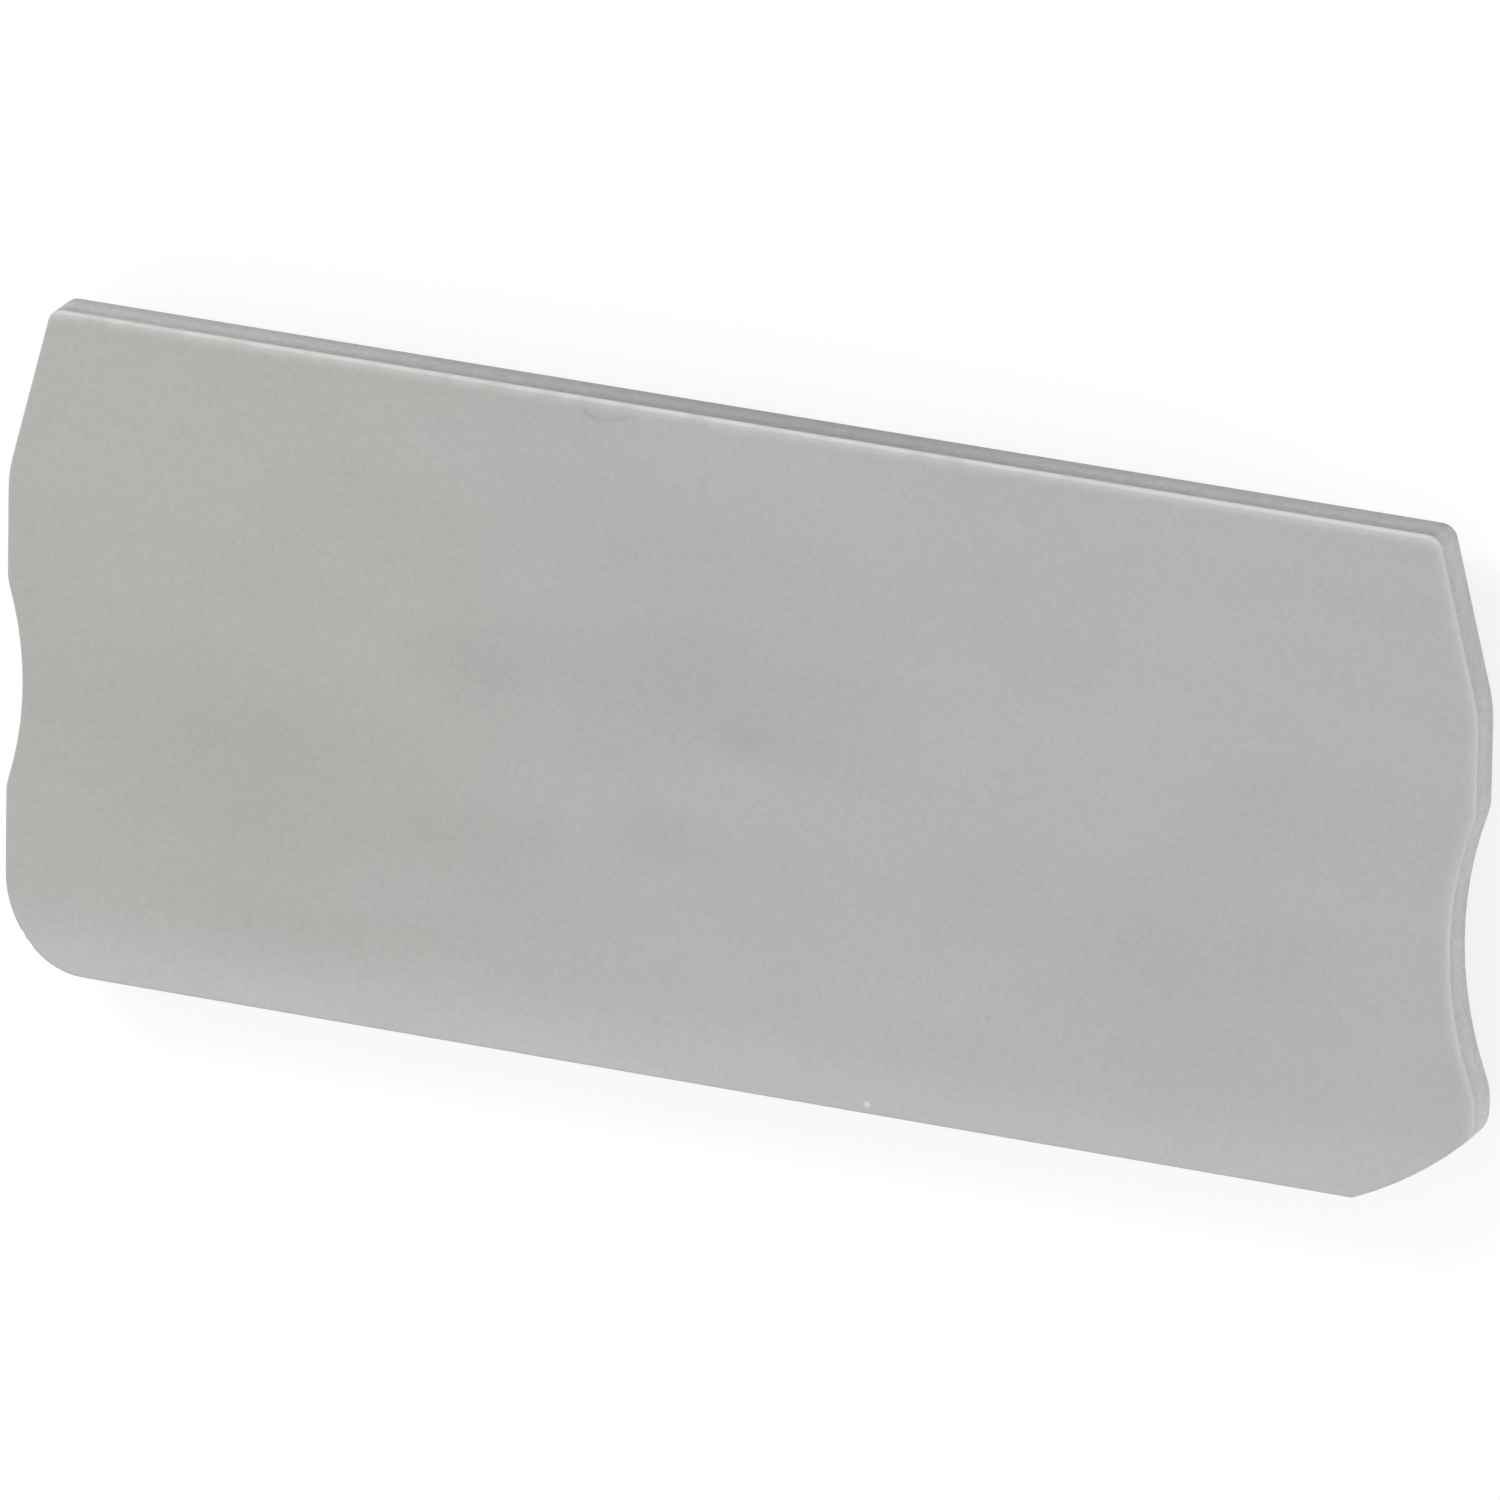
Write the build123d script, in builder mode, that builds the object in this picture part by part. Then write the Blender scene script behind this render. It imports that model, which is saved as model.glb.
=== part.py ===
from build123d import *
from math import sqrt
import os

# End cover of a rail-mounted terminal block: a thin moulded plate that closes the open side of
# the last block in a row. Millimetres. The smooth outer face looks up (+Z), and the plate rests
# on the tips of its pegs. X runs along the length and Y from the rail towards the wiring side.
# The origin is below the middle of the outline, in the plane of the peg tips.

# Outline, seen square on to the outer face
cover_length = 84.0
cover_height = 37.2
top_corner_radius = 0.9
shoulder_inset = 2.4
shoulder_height = 9.5
shoulder_bend_radius = 7.0

# Left flank: a shallow hollow, from so far below the top edge to so far above the bottom edge,
# then a round lower corner
left_hollow_drop = 15.5
left_hollow_rise = 10.2
left_hollow_depth = 0.9
left_corner_radius = 5.8
left_corner_width = 3.4

# Right flank: a longer hollow, then a foot that stands out, with a short upright flank, a round
# corner and a curve into the bottom edge
right_hollow_drop = 15.1
right_hollow_depth = 1.45
foot_step = 0.35
foot_flank_height = 2.0
foot_height = 4.6
foot_curve_width = 6.75
foot_curve_radius = 21.5
foot_corner_radius = 1.9

# Radii that soften the bends where the hollows end and the ends of the bottom edge
hollow_blend_radius = 3.0
bottom_left_blend_radius = 4.0
bottom_right_blend_radius = 0.5

# Section through the plate
cover_thickness = 2.2
skin_thickness = 1.0
rim_width = 1.2
face_edge_radius = 0.25

# Pegs that press into the sockets of the housing, each on a boss as tall as the rim
peg_diameter = 2.8
peg_length = 3.0
peg_lead_in = 0.5
upper_peg_inset = 12.0
upper_peg_drop = 8.6
lower_peg_inset = 20.0
lower_peg_rise = 7.6
boss_diameter = 5.2
boss_flare = 0.3

# Ribs on the inner side, a little lower than the rim
rib_width = 0.8
rib_setback = 0.4
cross_rib_count = 3
cross_rib_spacing = 15.0

# Marks that the mould leaves on the inner side
ejector_mark_diameter = 3.2
ejector_mark_depth = 0.12
ejector_mark_inset = 9.0
ejector_mark_offset = 6.5
gate_dimple_diameter = 3.0
gate_dimple_depth = 0.3
gate_stub_diameter = 0.9
gate_offset = 7.5

left_x = -cover_length / 2
foot_x = cover_length / 2
right_x = foot_x - foot_step
top_y = cover_height / 2
bottom_y = -cover_height / 2
shoulder_y = top_y - shoulder_height
left_hollow_top = top_y - left_hollow_drop
left_hollow_bottom = bottom_y + left_hollow_rise
left_corner_rise = sqrt(left_corner_radius**2 - (left_corner_radius - left_corner_width) ** 2)
right_hollow_top = top_y - right_hollow_drop
foot_corner_y = bottom_y + foot_height
right_hollow_bottom = foot_corner_y + foot_flank_height

seat_z = peg_length
recess_depth = cover_thickness - skin_thickness
recess_z = seat_z + recess_depth

# Corners of the outline, anticlockwise from the left end of the bottom edge
bottom_left = (left_x + left_corner_width, bottom_y)
bottom_right = (foot_x - foot_curve_width, bottom_y)
foot_corner = (foot_x, foot_corner_y)
right_hollow_lower = (foot_x, right_hollow_bottom)
right_hollow_upper = (right_x, right_hollow_top)
right_shoulder = (right_x, shoulder_y)
top_right = (right_x - shoulder_inset, top_y)
top_left = (left_x + shoulder_inset, top_y)
left_shoulder = (left_x, shoulder_y)
left_hollow_upper = (left_x, left_hollow_top)
left_hollow_lower = (left_x, left_hollow_bottom)
left_corner = (left_x, bottom_y + left_corner_rise)

corner_radii = [
    (bottom_right, bottom_right_blend_radius),
    (foot_corner, foot_corner_radius),
    (right_hollow_lower, hollow_blend_radius),
    (right_hollow_upper, hollow_blend_radius),
    (right_shoulder, shoulder_bend_radius),
    (top_right, top_corner_radius),
    (top_left, top_corner_radius),
    (left_shoulder, shoulder_bend_radius),
    (left_hollow_upper, hollow_blend_radius),
    (left_hollow_lower, hollow_blend_radius),
    (bottom_left, bottom_left_blend_radius),
]

upper_peg_y = top_y - upper_peg_drop
lower_peg_y = bottom_y + lower_peg_rise
peg_places = [
    (left_x + upper_peg_inset, upper_peg_y),
    (foot_x - upper_peg_inset, upper_peg_y),
    (left_x + lower_peg_inset, lower_peg_y),
    (foot_x - lower_peg_inset, lower_peg_y),
]
rib_y = (upper_peg_y + lower_peg_y) / 2
ejector_mark_places = [
    (left_x + ejector_mark_inset, rib_y + ejector_mark_offset),
    (left_x + ejector_mark_inset, rib_y - ejector_mark_offset),
    (foot_x - ejector_mark_inset, rib_y + ejector_mark_offset),
    (foot_x - ejector_mark_inset, rib_y - ejector_mark_offset),
]

os.makedirs("parts", exist_ok=True)

# The outline as a flat face
with BuildSketch() as outline:
    with BuildLine():
        Line(bottom_left, bottom_right)
        RadiusArc(bottom_right, foot_corner, -foot_curve_radius)
        Line(foot_corner, right_hollow_lower)
        SagittaArc(right_hollow_lower, right_hollow_upper, right_hollow_depth)
        Line(right_hollow_upper, right_shoulder)
        Line(right_shoulder, top_right)
        Line(top_right, top_left)
        Line(top_left, left_shoulder)
        Line(left_shoulder, left_hollow_upper)
        SagittaArc(left_hollow_upper, left_hollow_lower, left_hollow_depth)
        Line(left_hollow_lower, left_corner)
        RadiusArc(left_corner, bottom_left, -left_corner_radius)
    make_face()
    for corner, radius in corner_radii:
        fillet(outline.vertices().sort_by_distance(corner)[0], radius=radius)

# One peg on its boss, turned about its own axis: a lead-in cone at the tip, a shoulder level with
# the rim, and a root that flares into the skin and ends halfway through it
peg_radius = peg_diameter / 2
boss_radius = boss_diameter / 2
root_z = recess_z + skin_thickness / 2
with BuildPart() as peg:
    with BuildSketch(Plane.XZ):
        Polygon(
            (0, 0),
            (peg_radius - peg_lead_in, 0),
            (peg_radius, peg_lead_in),
            (peg_radius, seat_z),
            (boss_radius, seat_z),
            (boss_radius, recess_z - boss_flare),
            (boss_radius + root_z - recess_z + boss_flare, root_z),
            (0, root_z),
            align=None,
        )
    revolve(axis=Axis.Z)

with BuildPart() as end_cover:
    # Plate, with its outer edge softened all the way round
    with BuildSketch(Plane.XY.offset(seat_z)):
        add(outline.sketch)
    extrude(amount=cover_thickness)
    fillet(end_cover.faces().sort_by(Axis.Z)[-1].outer_wire().edges(), radius=face_edge_radius)

    # Recess that leaves a thin skin and an even rim
    with BuildSketch(Plane.XY.offset(seat_z)):
        offset(outline.sketch, amount=-rim_width, kind=Kind.INTERSECTION)
    extrude(amount=recess_depth, mode=Mode.SUBTRACT)

    # Pegs and their bosses
    with Locations(*peg_places):
        add(peg.part)

    # Low ribs: one along the plate between the peg rows, and evenly spaced ones across it
    with BuildSketch(Plane.XY.offset(seat_z + rib_setback)):
        with Locations((0, rib_y)):
            Rectangle(cover_length, rib_width)
        with GridLocations(cross_rib_spacing, 0, cross_rib_count, 1):
            Rectangle(rib_width, cover_height)
        offset(outline.sketch, amount=-rim_width / 2, kind=Kind.INTERSECTION, mode=Mode.INTERSECT)
    extrude(amount=recess_depth - rib_setback)

    # Round marks where the mould's ejector pins push on the skin, either side of the long rib
    with BuildSketch(Plane.XY.offset(recess_z)):
        with Locations(*ejector_mark_places):
            Circle(ejector_mark_diameter / 2)
    extrude(amount=ejector_mark_depth, mode=Mode.SUBTRACT)

    # Gate dimple, with the stub of the broken sprue left in it no taller than the skin around it
    with BuildSketch(Plane.XY.offset(recess_z)):
        with Locations((gate_offset, rib_y + gate_offset)):
            Circle(gate_dimple_diameter / 2)
            Circle(gate_stub_diameter / 2, mode=Mode.SUBTRACT)
    extrude(amount=gate_dimple_depth, mode=Mode.SUBTRACT)

end_cover.part.label = "end_cover"
export_step(end_cover.part, "parts/end_cover.step")
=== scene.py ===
# %% [markdown]
# # A moulded end cover in light grey plastic
#
# The real object is a thin plate that closes the open side of the last terminal block on a rail.
# It comes out of its mould in one shot, so there is nothing to assemble here: the solid brings the
# shape, and this lesson is about the finish of one plain plastic surface. A plain surface is
# harder than it looks, because nothing on it hides a wrong tone, a wrong gloss or a flat light.
#
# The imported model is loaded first. It fixes the size and the place of everything that follows.

# %% Load the frame
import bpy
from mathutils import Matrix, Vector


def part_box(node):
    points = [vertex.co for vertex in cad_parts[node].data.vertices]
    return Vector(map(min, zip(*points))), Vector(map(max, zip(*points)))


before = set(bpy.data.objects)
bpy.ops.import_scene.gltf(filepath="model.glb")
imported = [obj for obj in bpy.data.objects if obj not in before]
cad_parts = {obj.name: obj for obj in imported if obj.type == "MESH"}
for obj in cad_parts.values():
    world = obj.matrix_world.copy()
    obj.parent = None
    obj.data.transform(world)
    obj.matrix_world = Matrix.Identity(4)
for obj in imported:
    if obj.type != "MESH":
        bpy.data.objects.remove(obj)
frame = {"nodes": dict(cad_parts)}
print("nodes in the frame:", ", ".join(frame["nodes"]))

# %% [markdown]
# The model is in metres, while a moulding is thought of in millimetres, so one factor turns one
# into the other. The size of the cover is read from the frame and not typed in. Tints that follow
# an edge are placed from that edge, so they stay with it if the part is ever made in another size.

# %% Read the sizes off the frame
from math import cos, pi, radians, sin

import bmesh
import bpy
from mathutils import Matrix, Vector

MM = 0.001
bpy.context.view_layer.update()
cover = frame["nodes"]["end_cover"]
low_corner, high_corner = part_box("end_cover")
half_length = high_corner.x
half_height = high_corner.y
face_z = high_corner.z
size_mm = (high_corner - low_corner) / MM
print(f"cover {size_mm.x:.1f} x {size_mm.y:.1f} x {size_mm.z:.1f} mm, pegs included")

# %% [markdown]
# A material is a small machine of nodes, and building one takes the same two moves again and
# again, so they get a function each. `add_node` adds a node and fills in its settings and inputs,
# named as the node editor names them. `feed` gives a socket what it needs, which is either a plain
# value or the wire from another node.

# %% Helpers for building node trees
def add_node(tree, kind, inputs=None, **settings):
    node = tree.nodes.new(kind)
    for name, value in settings.items():
        setattr(node, name, value)
    for name, value in (inputs or {}).items():
        feed(value, node.inputs[name])
    return node


def feed(value, socket):
    if isinstance(value, bpy.types.NodeSocket):
        socket.id_data.links.new(value, socket)
    else:
        socket.default_value = value


print("node helpers ready")

# %% [markdown]
# Colours are easiest to name as the eye reads them on a screen, from 0 to 255, but light is added
# up in linear values. This function turns one into the other with the screen's standard curve.

# %% Screen colour to linear colour
def screen_colour(red, green, blue):
    linear = []
    for channel in (red, green, blue):
        level = channel / 255
        linear.append(level / 12.92 if level <= 0.04045 else ((level + 0.055) / 1.055) ** 2.4)
    return (*linear, 1.0)


print(f"screen grey 180 is {screen_colour(180, 180, 180)[0]:.3f} in linear light")

# %% [markdown]
# ## The plastic
#
# Covers like this are polyamide, pigmented light grey. Up close the grey isn't one colour. The
# melt leaves faint clouds where its fronts met, and one end reads a touch warmer than the other.
# Painted shade stands for the faint sinks of the skin over whatever is moulded behind it, and
# painted bounce light makes the strip along the lower edge paler. All of it is within a few steps
# of grey, and that is the whole difference between a plastic part and a grey rectangle.
#
# The pattern is driven by Object coordinates, which are the part's own metres. They stay fixed to
# the plate from every side and need no unwrapping.

# %% Start the material
plastic = bpy.data.materials.new("light_grey_plastic_finish")
plastic.use_nodes = True
tree = plastic.node_tree
tree.nodes.clear()
shader = add_node(tree, "ShaderNodeBsdfPrincipled", {"IOR": 1.5})
add_node(tree, "ShaderNodeOutputMaterial", {"Surface": shader.outputs["BSDF"]})
coordinates = add_node(tree, "ShaderNodeTexCoord")
place = coordinates.outputs["Object"]
axes = add_node(tree, "ShaderNodeSeparateXYZ", {"Vector": place})
print("material started:", plastic.name)

# %% [markdown]
# A few small tools do most of the painting. `share` turns a number into a share from 0 to 1 with
# a smooth step, so that no border shows. `arithmetic` is plain sums. `blend_colours` lays one
# colour over another by a share. `deepen` takes a colour down by a share, as a thin glaze does,
# so that a light grey and a dark grey both keep their own tone under it.

# %% Tools for painting with nodes
def share(value, start, end):
    limits = {"Value": value, "From Min": start, "From Max": end}
    smooth = add_node(tree, "ShaderNodeMapRange", limits, interpolation_type="SMOOTHSTEP")
    return smooth.outputs["Result"]


def arithmetic(operation, first, second=0.0):
    node = add_node(tree, "ShaderNodeMath", operation=operation)
    feed(first, node.inputs[0])
    feed(second, node.inputs[1])
    return node.outputs["Value"]


def blend_colours(amount, under, over, blend_type="MIX"):
    kind = {"data_type": "RGBA", "blend_type": blend_type}
    node = add_node(tree, "ShaderNodeMix", {"Factor": amount}, **kind)
    colour_inputs = [socket for socket in node.inputs if socket.type == "RGBA"]
    feed(under, colour_inputs[0])
    feed(over, colour_inputs[1])
    return [socket for socket in node.outputs if socket.type == "RGBA"][0]


glaze = (0.80, 0.80, 0.80, 1.0)


def deepen(amount, colour):
    return blend_colours(amount, colour, glaze, "MULTIPLY")


print("a full share of the glaze takes the grey down by about 17 steps of 255")

# %% [markdown]
# Many parts of this finish have a place: a painted sink shade, a patch of painted light, a scuff.
# Each is an ellipse with a soft rim. A Mapping node shifts, turns and stretches the plate onto a
# unit circle, and the distance from its middle gives the share. Several of them add up.

# %% Soft patches
def soft_patch(centre_x, centre_y, half_width, half_depth, turn=0):
    ellipse = {
        "Vector": place,
        "Location": (centre_x * MM, centre_y * MM, 0),
        "Rotation": (0, 0, radians(turn)),
        "Scale": (half_width * MM, half_depth * MM, 1),
    }
    unit = add_node(tree, "ShaderNodeMapping", ellipse, vector_type="TEXTURE").outputs["Vector"]
    radius = add_node(tree, "ShaderNodeVectorMath", {"Vector": unit}, operation="LENGTH")
    return share(radius.outputs["Value"], 1.0, 0.0)


def add_up(shares):
    total = 0.0
    for strength, patch in shares:
        total = arithmetic("ADD", total, arithmetic("MULTIPLY", patch, strength))
    return total


print("soft patches are placed in millimetres and turned in degrees")

# %% [markdown]
# Three tones are named: the warm grey of the left end, the cooler grey of the right end, and the
# paler grey of the lower strip, which is painted bounce light. They change over along the plate
# and across it. Five faint patches of that painted light reach further in: two above the strip,
# one along the top, and one each at the right end and in the lower right corner.

# %% Tones and painted light along and across the plate
warm_grey = screen_colour(180, 180, 177)
cool_grey = screen_colour(181, 183, 181)
# Painted bounce light: a paler grey along the lower edge and in five soft patches.
bounce_light_grey = screen_colour(190, 192, 191)
painted_light_strip_width = 5.5 * MM
warm_until = -0.6 * half_length
cool_from = 0.3 * half_length
toward_right = share(axes.outputs["X"], warm_until, cool_from)
painted_bounce_share = share(axes.outputs["Y"], painted_light_strip_width - half_height, -half_height)
painted_light_patches = [
    (0.30, soft_patch(10, -11.5, 21, 6.5)),
    (0.14, soft_patch(-20, -11.0, 10, 4)),
    (0.18, soft_patch(-2, 15.0, 32, 4.5)),
    (0.18, soft_patch(39, -1.0, 9, 18)),
    (0.30, soft_patch(36, -15.0, 12, 6)),
]
painted_lightness = arithmetic("ADD", painted_bounce_share, add_up(painted_light_patches))
tone = blend_colours(toward_right, warm_grey, cool_grey)
tone = blend_colours(painted_lightness, tone, bounce_light_grey)
print(f"the pale strip fades out {painted_light_strip_width / MM:.1f} mm above the lower edge")

# %% [markdown]
# Painted shade for sinks and flow comes next. A thick spot behind the skin cools last and pulls
# the face in by a few thousandths of a millimetre, which light shows as a soft darker patch. The
# mesh stays flat there, so that shade is painted into the colour. Noise alone would scatter such
# patches anywhere, but these have places: two level bands across the middle and broad painted
# shades at the left and at the right.

# %% Painted shade of sinks and flow
painted_sink_shades = [
    (0.26, soft_patch(-4, 3.5, 18, 5)),
    (0.24, soft_patch(-15, 2.5, 6, 5)),
    (0.20, soft_patch(0.5, 1, 2.5, 1.8)),
    (0.14, soft_patch(3, 1.2, 10, 2.4)),
    (0.26, soft_patch(-29, -4.5, 18, 8)),
    (0.14, soft_patch(-16, -6.5, 8, 2.2)),
    (0.26, soft_patch(-4, -5, 5, 2.6)),
    (0.07, soft_patch(25, -5, 9, 9)),
]
painted_sink_shade = add_up(painted_sink_shades)
print(f"{len(painted_sink_shades)} soft shades placed")

# %% [markdown]
# The clouds of the melt are a low, slow noise, drawn out along the plate because the plastic ran
# that way. A second, finer noise mottles the grey at the scale of a pencil dot. Clouds, mottle
# and the painted sink shade all deepen the tone with the same glaze. A noise is given by how many
# of its lumps make a metre.

# %% Clouds and mottle
def noise(lumps_per_metre, detail, roughness, stretch=(1, 1, 1)):
    stretched = add_node(tree, "ShaderNodeMapping", {"Vector": place, "Scale": stretch})
    kind = {"Scale": lumps_per_metre, "Detail": detail, "Roughness": roughness}
    texture = add_node(tree, "ShaderNodeTexNoise", kind)
    feed(stretched.outputs["Vector"], texture.inputs["Vector"])
    return texture.outputs["Fac"]


clouds_per_metre = 130
mottle_per_metre = 3400
clouds = share(noise(clouds_per_metre, 2, 0.65, stretch=(0.45, 1, 1)), 0.3, 0.7)
mottle = share(noise(mottle_per_metre, 2, 0.7), 0.25, 0.75)
clouding = add_up([(0.20, clouds), (0.37, mottle)])
# Painted sink shade and the real clouds and mottle all darken the tone here.
tone = deepen(arithmetic("ADD", painted_sink_shade, clouding), tone)
print(f"clouds {1 / (clouds_per_metre * MM):.1f} mm, mottle {1 / (mottle_per_metre * MM):.1f} mm")

# %% [markdown]
# A part that has been handled carries a few small marks, and these are the ones that show: a
# short curved scuff below the upper edge with a fainter tail to its right, two dots of dirt, and
# one pale speck near the lower edge where something hard nicked the skin. They belong to the outer
# face alone. The Normal output of Texture Coordinate says which way the surface looks, and its Z
# is 1 on that face, 0 on a wall and -1 inside.

# %% Marks of use
facing = add_node(tree, "ShaderNodeSeparateXYZ", {"Vector": coordinates.outputs["Normal"]})
on_face = share(facing.outputs["Z"], 0.5, 0.9)
scuffs = [
    (0.65, soft_patch(-8.85, 17.90, 0.60, 0.28, turn=-52)),
    (0.65, soft_patch(-8.35, 17.54, 0.55, 0.28, turn=-22)),
    (0.45, soft_patch(-6.90, 17.75, 1.60, 0.20, turn=14)),
    (0.60, soft_patch(15.84, 4.31, 0.22, 0.18)),
    (0.45, soft_patch(14.60, -12.0, 0.22, 0.20)),
]
tone = deepen(arithmetic("MULTIPLY", on_face, add_up(scuffs)), tone)
speck = arithmetic("MULTIPLY", on_face, soft_patch(7.82, -18.01, 0.30, 0.26))
speck_grey = screen_colour(222, 223, 220)
tone = blend_colours(speck, tone, speck_grey)
print(f"{len(scuffs)} dark marks and one pale speck")

# %% [markdown]
# The walls carry painted light and shade. The upper wall is painted in a darker, cooler grey than
# the face, as painted shade, and seen from the left end it darkens to its middle and gets a little
# lighter again. The right wall is painted about as light as the face, and painted bounce light
# makes it lightest at its lower end. A fine painted shadow line runs beside the face and a fainter
# one beside the rim. The steel scrapes the walls a little when the mould opens, so the walls are
# more blotched than the face.

# %% Painted light and shade of the walls
upright = arithmetic("ABSOLUTE", facing.outputs["Z"])
on_wall = share(upright, 0.45, 0.1)
on_right_wall = share(facing.outputs["X"], 0.1, 0.6)
# Painted light and shade: the upper wall darker than the face, the right wall as light as it and
# lightest at its lower end.
left_end_grey = screen_colour(184, 187, 185)
middle_grey = screen_colour(160, 164, 162)
right_end_grey = screen_colour(173, 177, 175)
lit_right_wall_grey = screen_colour(184, 186, 183)
bounce_lit_lower_right_grey = screen_colour(191, 192, 191)
from_left_end = share(axes.outputs["X"], -0.9 * half_length, 0.1 * half_length)
from_middle = share(axes.outputs["X"], 0.12 * half_length, 0.6 * half_length)
painted_wall_shading = blend_colours(from_left_end, left_end_grey, middle_grey)
painted_wall_shading = blend_colours(from_middle, painted_wall_shading, right_end_grey)
toward_lower_end = share(axes.outputs["Y"], -0.15 * half_height, -0.65 * half_height)
lit_right_wall_tone = blend_colours(toward_lower_end, lit_right_wall_grey, bounce_lit_lower_right_grey)
painted_wall_shading = blend_colours(on_right_wall, painted_wall_shading, lit_right_wall_tone)
# Painted shade: a fine dark line beside the face and a fainter one beside the rim.
shade_beside_face = share(axes.outputs["Z"], face_z - 1.1 * MM, face_z - 0.3 * MM)
shade_beside_rim = share(axes.outputs["Z"], face_z - 1.3 * MM, face_z - 2.0 * MM)
above_pegs = share(axes.outputs["Z"], face_z - 2.4 * MM, face_z - 2.2 * MM)
painted_shade_lines = arithmetic("MULTIPLY", add_up([(1.1, shade_beside_face), (0.7, shade_beside_rim)]), above_pegs)
spared_at_right = 0.7
shade_line_share = arithmetic("SUBTRACT", 1.0, arithmetic("MULTIPLY", on_right_wall, spared_at_right))
painted_wall_shading = deepen(arithmetic("MULTIPLY", painted_shade_lines, shade_line_share), painted_wall_shading)
blotches_per_metre = 700
blotches = noise(blotches_per_metre, 1, 0.55)
painted_wall_shading = deepen(add_up([(0.75, mottle), (0.3, share(blotches, 0.3, 0.7))]), painted_wall_shading)
tone = blend_colours(on_wall, tone, painted_wall_shading)
print("walls toned apart from the face")

# %% [markdown]
# A moulded edge is never a knife, and the solid has its true radius, which draws a thin bright
# line where it mirrors a lamp. Handling wears the edge as well and takes the grain off, which
# leaves the plastic smoother. The lighter grey laid on the edges is partly that wear and partly a
# painted highlight, most of all on the radius and then fading out within the next millimetre of
# the face. The Bevel node tells how near an edge is: it averages the normals around each point, so
# its answer leans over as the edge comes near. Which way it leans tells the upper edge from the
# right one. Here it only measures, and the mesh and its shading stay as they are.

# %% Distance and direction of the nearest edge
wear_and_highlight_reach = 1.05 * MM
averaged = add_node(tree, "ShaderNodeBevel", {"Radius": wear_and_highlight_reach}, samples=4).outputs["Normal"]
averaged_local = add_node(
    tree,
    "ShaderNodeVectorTransform",
    {"Vector": averaged},
    vector_type="NORMAL",
    convert_from="WORLD",
    convert_to="OBJECT",
).outputs["Vector"]
averaged_axes = add_node(tree, "ShaderNodeSeparateXYZ", {"Vector": averaged_local}).outputs
flatness = arithmetic("MULTIPLY", averaged_axes["Z"], averaged_axes["Z"])
lean = arithmetic("SQRT", arithmetic("SUBTRACT", 1.0, flatness))
upper_edge = share(arithmetic("DIVIDE", averaged_axes["Y"], lean), 0.3, 0.95)
right_edge = share(arithmetic("DIVIDE", averaged_axes["X"], lean), 0.6, 0.95)
print(f"wear reaches {wear_and_highlight_reach / MM:.2f} mm in from an edge")

# %% [markdown]
# The upper edge gets most of this lighter grey, mostly as a painted highlight with some wear under
# it, and the right one gets some. The walls lie against the next housing and get none. The
# blotches break it up, except toward the right end, where it runs on unbroken.

# %% Wear and painted highlight on the edges
near_edge = arithmetic("MULTIPLY", share(lean, 0.0, 0.7), arithmetic("SUBTRACT", 1.0, on_wall))
least_wear_and_highlight = 0.05
wear_and_highlight_share = arithmetic("ADD", least_wear_and_highlight, add_up([(0.85, upper_edge), (0.28, right_edge)]))
steady_wear_and_highlight = 0.6
patchy_wear_and_highlight = arithmetic("MULTIPLY", share(blotches, 0.3, 0.6), 1 - steady_wear_and_highlight)
broken_up = arithmetic("ADD", steady_wear_and_highlight, patchy_wear_and_highlight)
broken_up = arithmetic("MAXIMUM", broken_up, from_middle)
edge_wear_and_highlight = arithmetic("MULTIPLY", near_edge, arithmetic("MULTIPLY", wear_and_highlight_share, broken_up))
# Wear and painted highlight: the light grey laid along the edges.
worn_and_highlight_grey = screen_colour(215, 215, 212)
tone = blend_colours(edge_wear_and_highlight, tone, worn_and_highlight_grey)
print("wear is greatest along the upper edge")

# %% [markdown]
# The mould's face is spark-eroded, which prints an even, fine grain on the plastic. The grain goes
# into the bump, where light finds it, and into the roughness. Worn edges are smoother than the
# face.

# %% Grain and gloss
grain_per_metre = 6500
grain_height = 0.008 * MM
matt_roughness = 0.5
grain_roughness = 0.12
edge_polish = 0.2
grain = noise(grain_per_metre, 1, 0.55)
bump = add_node(tree, "ShaderNodeBump", {"Height": grain, "Distance": grain_height})
grainy = arithmetic("MULTIPLY", grain, grain_roughness)
face_roughness = arithmetic("ADD", matt_roughness, grainy)
edge_gloss = arithmetic("MULTIPLY", edge_wear_and_highlight, edge_polish)
feed(arithmetic("SUBTRACT", face_roughness, edge_gloss), shader.inputs["Roughness"])
feed(bump.outputs["Normal"], shader.inputs["Normal"])
feed(tone, shader.inputs["Base Color"])
print(f"grain {grain_height / MM:.3f} mm high")

# %% [markdown]
# The cover keeps its own mesh, since its shape is right. It only gets the new material, in the
# slot where the plain one was.

# %% Give the cover its finish
for slot in cover.material_slots:
    slot.material = plastic
print("finish given to", cover.name)

# %% [markdown]
# ## The table
#
# The cover lies on a white table that fills the picture. A table that is lit up to white would
# also flood the part from below. So it has two faces: to the camera it glows just under white and
# darkens only where the part takes its light away, and to every other ray it is plain white card.
# Mirrors and glass would see what the camera sees, because glossy and transmitted rays count too.
# Away from the part no shadow falls, and there the table is simply white. Two small helpers come
# first: one asks whether a ray is of the kinds that see the background as it is, and one chooses
# between two shaders.

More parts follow.
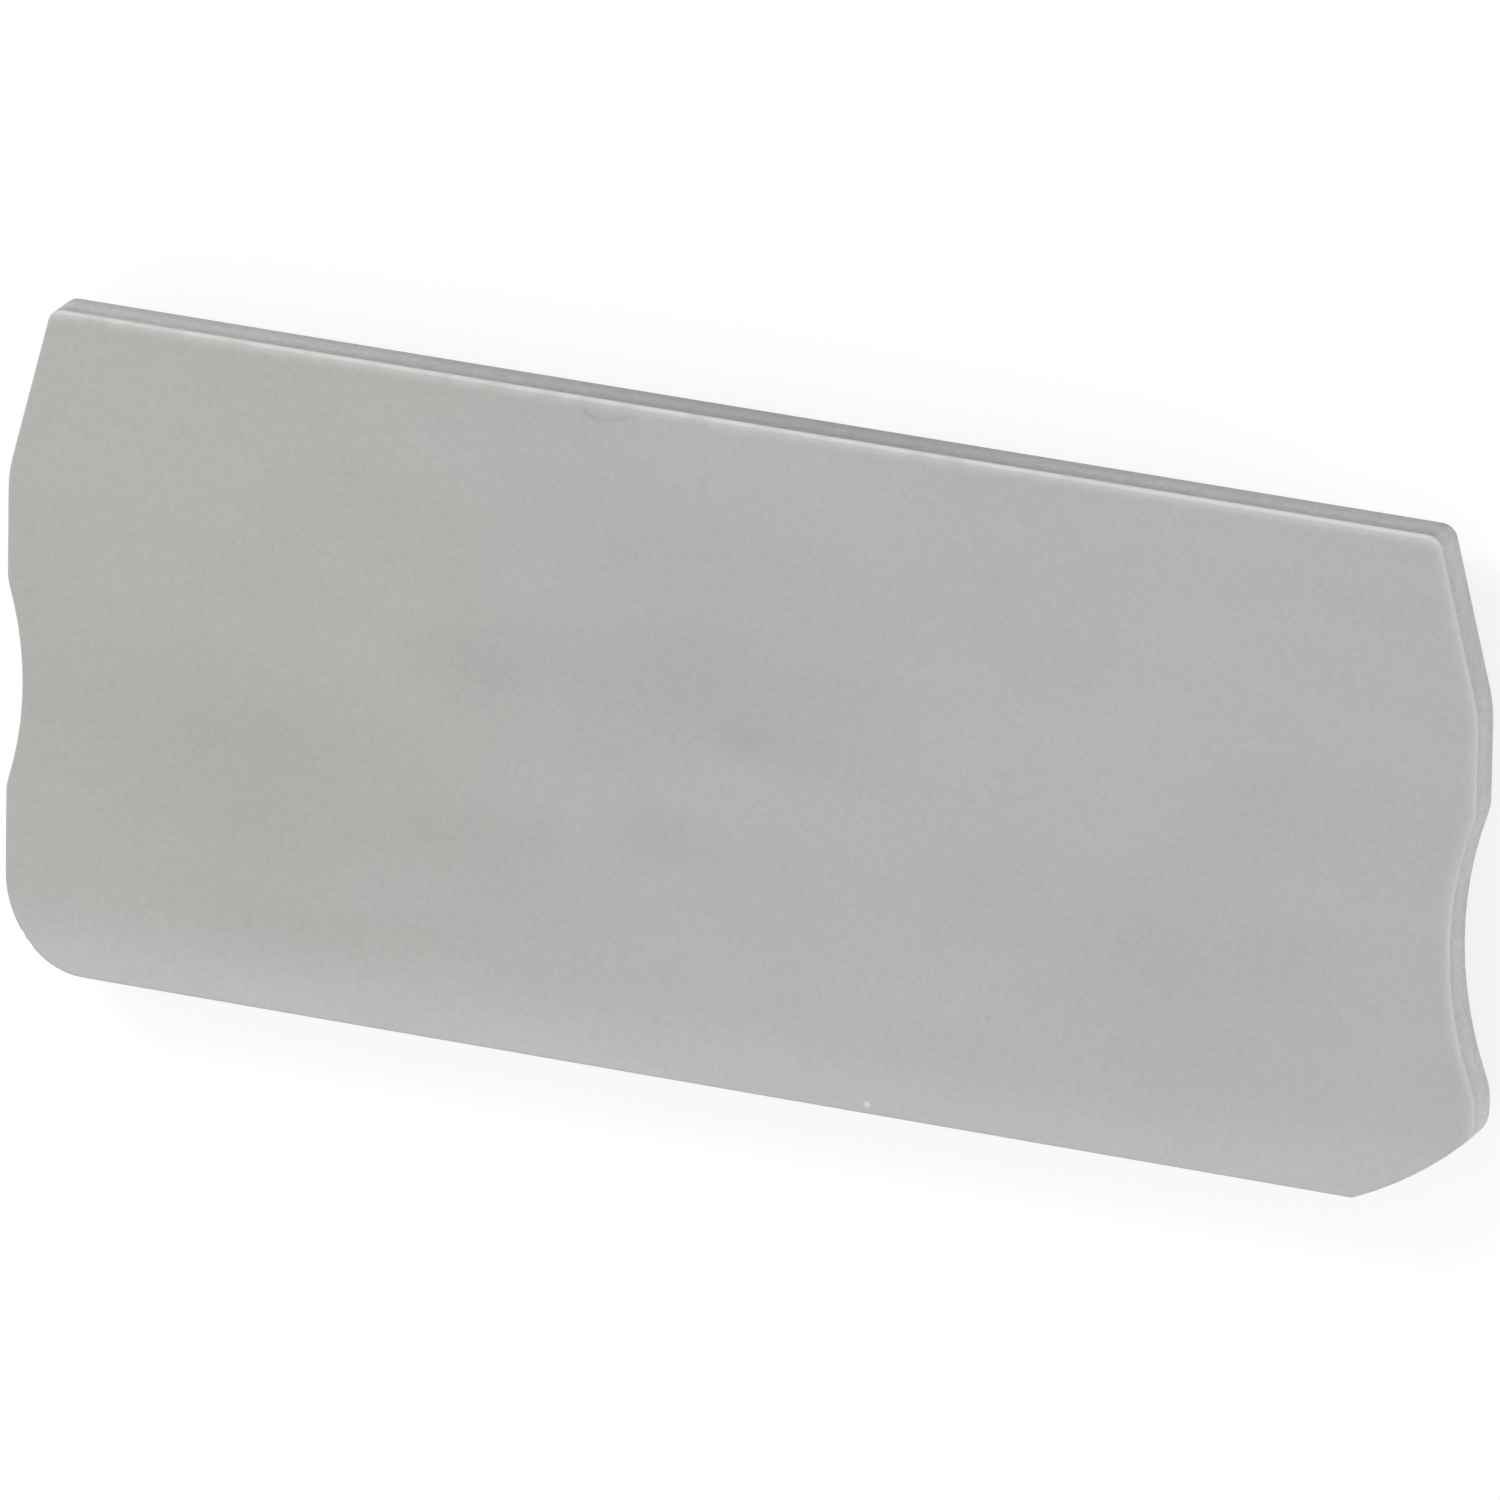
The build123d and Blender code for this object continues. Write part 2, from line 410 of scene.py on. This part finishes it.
# %% Rays that see the background as it is
def seen_directly(tree):
    rays = add_node(tree, "ShaderNodeLightPath").outputs
    either = add_node(tree, "ShaderNodeMath", operation="MAXIMUM")
    feed(rays["Is Camera Ray"], either.inputs[0])
    feed(rays["Is Glossy Ray"], either.inputs[1])
    any_of_three = add_node(tree, "ShaderNodeMath", operation="MAXIMUM")
    feed(either.outputs["Value"], any_of_three.inputs[0])
    feed(rays["Is Transmission Ray"], any_of_three.inputs[1])
    return any_of_three.outputs["Value"]


def choose(tree, amount, first, second):
    node = add_node(tree, "ShaderNodeMixShader", {"Fac": amount})
    feed(first, node.inputs[1])
    feed(second, node.inputs[2])
    return node.outputs["Shader"]


print("rays can be told apart")

# %% [markdown]
# The table itself is one flat square, far wider than the picture. It isn't part of the object.

# %% The table's surface
table_half_width = 3.0
table_mesh = bpy.data.meshes.new("table")
table_shape = bmesh.new()
bmesh.ops.create_grid(table_shape, x_segments=1, y_segments=1, size=table_half_width)
table_shape.to_mesh(table_mesh)
table_shape.free()
table = bpy.data.objects.new("table", table_mesh)
bpy.context.scene.collection.objects.link(table)
print(f"table {2 * table_half_width:.0f} m wide")

# %% [markdown]
# Its material is white card to the light. To the camera it is a glow plus a little card that takes
# the shadow, and then plain white outside an ellipse around the part.

# %% The table's white card
card_white = (0.8, 0.8, 0.8, 1)
shadow_grey = (0.25, 0.25, 0.25, 1)
own_glow = 0.80
shadow_reach = 30 * MM
white_card = bpy.data.materials.new("white_card")
white_card.use_nodes = True
card = white_card.node_tree
card.nodes.clear()
card_matt = add_node(card, "ShaderNodeBsdfDiffuse", {"Color": card_white})
shadow_catcher = add_node(card, "ShaderNodeBsdfDiffuse", {"Color": shadow_grey})
glow = add_node(card, "ShaderNodeEmission", {"Strength": own_glow})
glowing = add_node(card, "ShaderNodeAddShader")
feed(shadow_catcher.outputs["BSDF"], glowing.inputs[0])
feed(glow.outputs["Emission"], glowing.inputs[1])
around_part = {
    "Vector": add_node(card, "ShaderNodeTexCoord").outputs["Object"],
    "Scale": (half_length + shadow_reach, half_height + shadow_reach, 1),
}
unit = add_node(card, "ShaderNodeMapping", around_part, vector_type="TEXTURE").outputs["Vector"]
distance = add_node(card, "ShaderNodeVectorMath", {"Vector": unit}, operation="LENGTH")
fade = {"Value": distance.outputs["Value"], "From Min": 1.0, "From Max": 1.3}
far_off = add_node(card, "ShaderNodeMapRange", fade).outputs["Result"]
plain_white = add_node(card, "ShaderNodeEmission", {"Strength": 1.0}).outputs["Emission"]
seen_table = choose(card, far_off, glowing.outputs["Shader"], plain_white)
card_surface = choose(card, seen_directly(card), card_matt.outputs["BSDF"], seen_table)
add_node(card, "ShaderNodeOutputMaterial", {"Surface": card_surface})
table_mesh.materials.append(white_card)
print(f"shadow kept up to {shadow_reach / MM:.0f} mm around the part")

# %% [markdown]
# ## The light
#
# The room itself gives an even, soft light from all around, which keeps every edge open.

# %% The room
world = bpy.data.worlds.new("soft_room")
bpy.context.scene.world = world
world.use_nodes = True
sky = world.node_tree
sky.nodes.clear()
neutral = (1, 1, 1, 1)
room_level = 0.515
room = add_node(sky, "ShaderNodeBackground", {"Color": neutral, "Strength": room_level})
white = add_node(sky, "ShaderNodeBackground", {"Color": neutral, "Strength": 1.0})
lights = (room.outputs["Background"], white.outputs["Background"])
add_node(sky, "ShaderNodeOutputWorld", {"Surface": choose(sky, seen_directly(sky), *lights)})
print(f"room light at {room_level}, seen as white")

# %% [markdown]
# Three soft lamps shape the plate. The main one stands high beyond the upper edge, where the
# radius of that edge mirrors it into the camera and draws the bright line. One low at the right
# lifts the right wall and draws the line beside it, and one from the near left opens the edges
# that turn away. A lamp is given by its direction, its width and its level, which is the share of
# plain full light that it throws on a surface that faces it.

# %% The lamps
lamp_distance = 1.2
full_light = pi**2 * lamp_distance**2


def softbox(name, direction, width, level):
    data = bpy.data.lights.new(name, "AREA")
    data.shape = "DISK"
    data.size = width
    data.energy = level * full_light
    lamp = bpy.data.objects.new(name, data)
    bpy.context.scene.collection.objects.link(lamp)
    toward = Vector(direction).normalized()
    lamp.location = Vector((0, 0, face_z)) + toward * lamp_distance
    lamp.rotation_euler = toward.to_track_quat("Z", "Y").to_euler()
    print(f"{name}: {data.energy:.1f} W")


softbox("beyond_upper_edge", (-0.37, 0.69, 0.62), width=0.45, level=0.5)
softbox("low_right", (0.93, -0.3, 0.17), width=0.5, level=0.44)
softbox("near_left", (-0.55, -0.65, 0.5), width=0.8, level=0.14)

# %% [markdown]
# ## The camera
#
# A long lens from far off keeps the edges of the plate almost parallel. The camera stands up and
# to the right of the plate, so it sees the face, the upper wall and the right wall. Its place is
# a distance along one direction, and its turn is built from three axes at right angles: toward
# the camera, to the right in the picture, and up in the picture.

# %% The camera's three axes
view_right_turn = radians(23.497)
view_up_turn = radians(20.469)
view_roll = radians(0.945)
toward_camera = Vector(
    (
        sin(view_right_turn) * cos(view_up_turn),
        sin(view_up_turn),
        cos(view_right_turn) * cos(view_up_turn),
    )
)
level_right = Vector((cos(view_right_turn), 0, -sin(view_right_turn)))
level_up = toward_camera.cross(level_right)
image_right = level_right * cos(view_roll) + level_up * sin(view_roll)
image_up = level_up * cos(view_roll) - level_right * sin(view_roll)
print("toward the camera:", [round(part, 3) for part in toward_camera])

# %% [markdown]
# The lens follows from the scale of the picture. At this distance a millimetre on the face has to
# cover so many of the picture's 1500 pixels.

# %% The camera itself
frame_pixels = 1500
pixels_per_mm = 19.187
sensor_width = 36.0
view_distance = 1.6
view_target = Vector((0.821 * MM, 0.610 * MM, face_z))
camera_data = bpy.data.cameras.new("camera")
camera_data.sensor_width = sensor_width
camera_data.lens = sensor_width * pixels_per_mm * (view_distance / MM) / frame_pixels
camera = bpy.data.objects.new("camera", camera_data)
bpy.context.scene.collection.objects.link(camera)
turn = Matrix((image_right, image_up, toward_camera)).transposed().to_4x4()
camera.matrix_world = Matrix.Translation(view_target + toward_camera * view_distance) @ turn
bpy.context.scene.camera = camera
bpy.context.scene.view_settings.view_transform = "Standard"
print(f"lens {camera_data.lens:.0f} mm at {view_distance} m")

# %% [markdown]
# A finish may not change a size, so the cover keeps the mesh of the solid.

# %% End of the scene
print("scene built")
